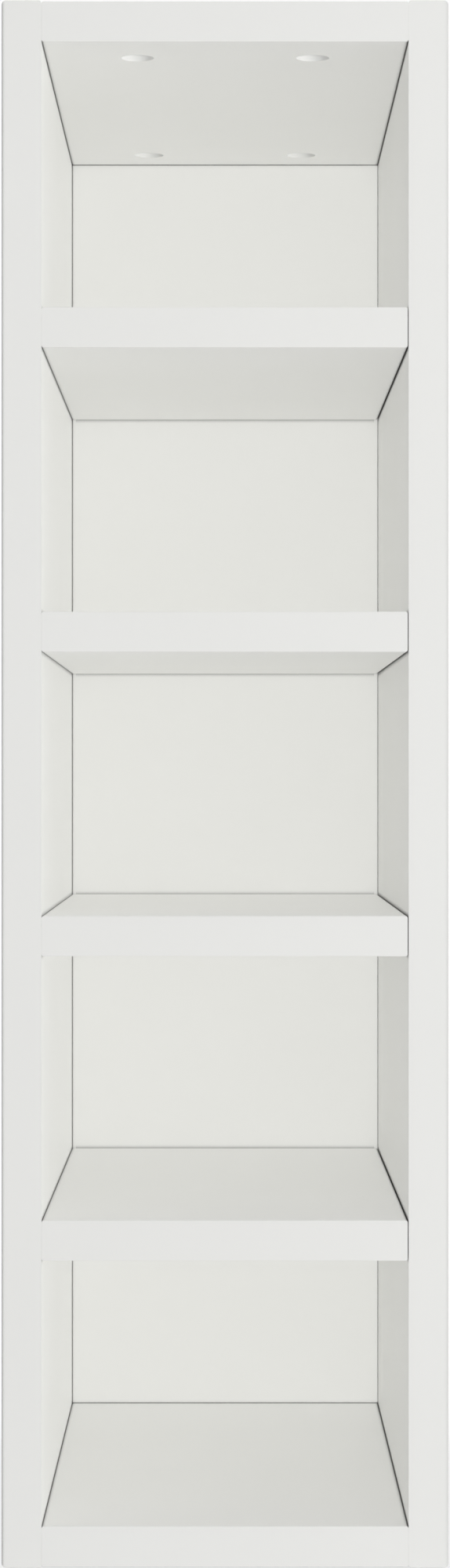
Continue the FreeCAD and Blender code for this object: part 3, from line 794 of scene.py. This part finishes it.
class WINERACK_OT_boards(bpy.types.Operator):
    """Lacquer the sides, the back, the top, the bottom and the shelves"""
    bl_idname = "winerack.boards"
    bl_label = "Lacquer Boards"

    def execute(self, context):
        look = context.scene.winerack.lacquer
        level_boards = [name for name in nodes_in_slot("white_lacquer") if name not in (BACK, *SIDES)]
        on_sides = lacquer_material("side_lacquer_finish", look, board_painted_shade_fade, crisp=True)
        on_level_boards = lacquer_material("board_lacquer_finish", look, board_painted_shade_fade, paint_light_on_hole_walls)
        on_back = lacquer_material("back_lacquer_finish", look, back_painted_shade_fade, bare_pockets)
        finish_nodes(SIDES, on_sides)
        finish_nodes(level_boards, on_level_boards)
        finish_nodes([BACK], on_back)
        return {"FINISHED"}


class WINERACK_OT_cam_nuts(bpy.types.Operator):
    """Finish the cam nuts in die-cast zinc"""
    bl_idname = "winerack.cam_nuts"
    bl_label = "Finish Cam Nuts"

    def execute(self, context):
        finish_nodes(nodes_in_slot("cam_zinc"), cast_zinc_material(context.scene.winerack.metal))
        return {"FINISHED"}


class WINERACK_OT_hangers(bpy.types.Operator):
    """Finish the keyhole plates in plated steel"""
    bl_idname = "winerack.hangers"
    bl_label = "Finish Keyhole Plates"

    def execute(self, context):
        material = plated_steel_material("plate_finish", context.scene.winerack.metal, ROLLED_UPRIGHT)
        finish_nodes(nodes_in_slot("plate_steel"), material)
        return {"FINISHED"}


class WINERACK_OT_cam_bolts(bpy.types.Operator):
    """Make the threaded bolts that the cam nuts hold"""
    bl_idname = "winerack.cam_bolts"
    bl_label = "Make Cam Bolts"

    def execute(self, context):
        settings = context.scene.winerack
        material = plated_steel_material("bolt_finish", settings.metal, TURNED_ABOUT_X)
        group = mirrored_bolt_tree()
        for node in nodes_in_slot("bolt_steel"):
            low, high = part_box(node)
            piece = grow(f"threaded_{node}", group, {
                "Across": 2 * CAM_AXIS,
                "Along": high.y - low.y - 2 * settings.bolts.collar_radius,
                "Rows": FITTING_ROWS,
                "Centre": (low + high) / 2,
                "Material": material,
            }, cam_bolt_mesh(settings.bolts, high.x - CAM_AXIS))
            stand_in_for(piece, node)
        return {"FINISHED"}


class WINERACK_OT_dowels(bpy.types.Operator):
    """Make the fluted beech dowels"""
    bl_idname = "winerack.dowels"
    bl_label = "Make Dowels"

    def execute(self, context):
        sizes = context.scene.winerack.dowels
        material = beech_material(sizes)
        group = dowel_tree()
        for node in nodes_in_slot("beech"):
            low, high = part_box(node)
            span = high - low
            upright = span.z > span.y
            diameter = min(span.y, span.z)
            piece = grow(f"fluted_{node}", group, {
                "Radius": diameter / 2,
                "Length": sizes.length,
                "Bevel": sizes.bevel,
                "Flutes": sizes.flutes,
                "Flute Depth": sizes.flute_depth,
                "Tilt": QUARTER_TURN if upright else 0.0,
                "Across": span.x - sizes.length,
                "Along": max(span.y, span.z) - diameter,
                "Rows": BACK_DOWEL_ROWS if upright else FITTING_ROWS,
                "Centre": (low + high) / 2,
                "Material": material,
            })
            stand_in_for(piece, node)
        return {"FINISHED"}


class WINERACK_OT_hanger_screws(bpy.types.Operator):
    """Make the countersunk screws of the keyhole plates"""
    bl_idname = "winerack.hanger_screws"
    bl_label = "Make Plate Screws"

    def execute(self, context):
        settings = context.scene.winerack
        screw = settings.screws
        node = "hanger_screws"
        low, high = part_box(node)
        piece = grow("threaded_hanger_screws", recessed_screw_tree(), {
            "Recess Length": screw.recess_length,
            "Recess Width": screw.recess_width,
            "Recess Depth": screw.recess_depth,
            "Seed": screw.seed,
            "Across": high.x - low.x - 2 * screw.head_radius,
            "Along": high.z - low.z - 2 * screw.head_radius,
            "Rows": FITTING_ROWS,
            "Centre": Vector(((low.x + high.x) / 2, high.y, (low.z + high.z) / 2)),
            "Material": plated_steel_material("screw_finish", settings.metal, TURNED_ABOUT_Y),
        }, hanger_screw_mesh(screw))
        stand_in_for(piece, node)
        return {"FINISHED"}


# Stage

def background_rays(tree):
    """Is 1 for the rays that see the background: straight, mirrored or through glass."""
    path = tree.node("ShaderNodeLightPath", output="Is Camera Ray")
    mirrored = path.math("MAXIMUM", path, path.output("Is Glossy Ray"))
    return path.math("MAXIMUM", mirrored, path.output("Is Transmission Ray"))


def build_world(studio):
    """A white background over a plain room light."""
    world = bpy.data.worlds.new("studio_world")
    world.use_nodes = True
    tree = Tree(world.node_tree)
    room = tree.node("ShaderNodeBackground", None, {"Color": WHITE, "Strength": studio.surround})
    white = tree.node("ShaderNodeBackground", None, {"Color": WHITE, "Strength": 1.0})
    both = tree.blend(background_rays(tree), room, white)
    tree.node("ShaderNodeOutputWorld", inputs={"Surface": both})
    bpy.context.scene.world = world


def floor_material(studio):
    """White floor with the rack's shade painted on its glow from ambient occlusion, and that is clear from below.
    """
    material, tree, _ = new_material("floor_finish")
    shaded = tree.mix(tree.openness(studio.shade_reach, SHADE_SAMPLES), opaque(studio.floor_shade), WHITE)
    seen = tree.node("ShaderNodeEmission", None, {"Color": shaded, "Strength": 1.0})
    lit = tree.node("ShaderNodeBsdfDiffuse", None, {"Color": opaque(studio.floor_white)})
    top = tree.blend(background_rays(tree), lit, seen)
    underside = tree.node("ShaderNodeNewGeometry", output="Backfacing")
    clear = tree.node("ShaderNodeBsdfTransparent")
    end_material(tree, tree.blend(underside, top, clear))
    return material


def build_floor(studio):
    """A wide level floor just under the rack."""
    reach = studio.floor_reach
    level = CAD_BOX[0].z - studio.floor_drop
    corners = [(x * reach, y * reach, level) for x, y in ((-1, -1), (1, -1), (1, 1), (-1, 1))]
    mesh = bpy.data.meshes.new("floor")
    mesh.from_pydata(corners, [], [(0, 1, 2, 3)])
    mesh.materials.append(floor_material(studio))
    floor = bpy.data.objects.new("floor", mesh)
    bpy.context.scene.collection.objects.link(floor)


# How widely the fills spread their light
FILL_SPREAD = math.radians(30)


def add_lamp(name, kind, direction, energy):
    """A lamp without hard shadows or glints, set off from the middle of the rack and aimed at it."""
    lamp = bpy.data.objects.new(name, bpy.data.lights.new(name, kind))
    lamp.location = MIDDLE + Vector(direction)
    lamp.rotation_euler = (MIDDLE - lamp.location).to_track_quat("-Z", "Y").to_euler()
    lamp.data.energy = energy
    lamp.data.use_shadow = False
    lamp.visible_camera = False
    lamp.visible_glossy = False
    bpy.context.scene.collection.objects.link(lamp)
    return lamp.data


def build_lamps(studio):
    """A soft lamp at the front right, a weak one that grazes the front, and fills from the other sides."""
    key = add_lamp("key_lamp", "AREA", (studio.key_side, -studio.key_front, 0), studio.key_power)
    side = add_lamp("side_lamp", "AREA", (studio.side_reach, -studio.side_front, 0), studio.side_power)
    side.use_shadow = True
    for soft_lamp in (key, side):
        soft_lamp.shape = "DISK"
        soft_lamp.size = studio.key_size
    fills = {
        "left_fill": ((-1, 0, 0), studio.left_fill),
        "top_fill": ((0, 0, 1), studio.top_fill),
        "base_fill": ((0, 0, -1), studio.base_fill),
        "rear_fill": ((0, 1, 0), studio.rear_fill),
    }
    for name, (direction, strength) in fills.items():
        fill = add_lamp(name, "SUN", direction, strength)
        fill.angle = FILL_SPREAD


def build_camera(studio):
    """A level camera straight in front, as high as the middle of the rack."""
    camera = bpy.data.cameras.new("camera")
    camera.sensor_width = studio.sensor
    camera.lens = studio.sensor * studio.camera_distance / studio.view_height
    holder = bpy.data.objects.new("camera", camera)
    holder.location = (MIDDLE.x, FRONT - studio.camera_distance, MIDDLE.z)
    holder.rotation_euler = (QUARTER_TURN, 0.0, 0.0)
    bpy.context.scene.collection.objects.link(holder)
    bpy.context.scene.camera = holder


class WINERACK_OT_stage(bpy.types.Operator):
    """Set up the floor, the light and the camera"""
    bl_idname = "winerack.stage"
    bl_label = "Set Up Studio"

    def execute(self, context):
        studio = context.scene.winerack.studio
        build_world(studio)
        build_floor(studio)
        build_lamps(studio)
        build_camera(studio)
        context.scene.view_settings.view_transform = "Standard"
        return {"FINISHED"}


class WINERACK_PT_panel(bpy.types.Panel):
    """Settings and steps of the wine rack"""
    bl_idname = "WINERACK_PT_panel"
    bl_label = "Wine Rack"
    bl_space_type = "VIEW_3D"
    bl_region_type = "UI"
    bl_category = "Wine Rack"

    def draw(self, context):
        settings = context.scene.winerack
        for group_name in settings.__annotations__:
            box = self.layout.box()
            group = getattr(settings, group_name)
            for name in group.__annotations__:
                box.prop(group, name)
        for operator in OPERATORS:
            self.layout.operator(operator.bl_idname)


SETTINGS = (LacquerLook, MetalLook, DowelSizes, BoltSizes, ScrewSizes, StudioSettings, RackSettings)
OPERATORS = (WINERACK_OT_boards, WINERACK_OT_cam_nuts, WINERACK_OT_hangers, WINERACK_OT_cam_bolts,
             WINERACK_OT_dowels, WINERACK_OT_hanger_screws, WINERACK_OT_stage)
CLASSES = SETTINGS + OPERATORS + (WINERACK_PT_panel,)


def register():
    """Registers the settings, the steps and the panel."""
    for cls in CLASSES:
        bpy.utils.register_class(cls)
    bpy.types.Scene.winerack = PointerProperty(type=RackSettings)


def unregister():
    """Takes them out again."""
    del bpy.types.Scene.winerack
    for cls in reversed(CLASSES):
        bpy.utils.unregister_class(cls)


def main():
    """Makes the whole rack."""
    register()
    bpy.ops.winerack.boards()
    bpy.ops.winerack.cam_nuts()
    bpy.ops.winerack.hangers()
    bpy.ops.winerack.cam_bolts()
    bpy.ops.winerack.dowels()
    bpy.ops.winerack.hanger_screws()
    bpy.ops.winerack.stage()


if __name__ == "__main__":
    main()
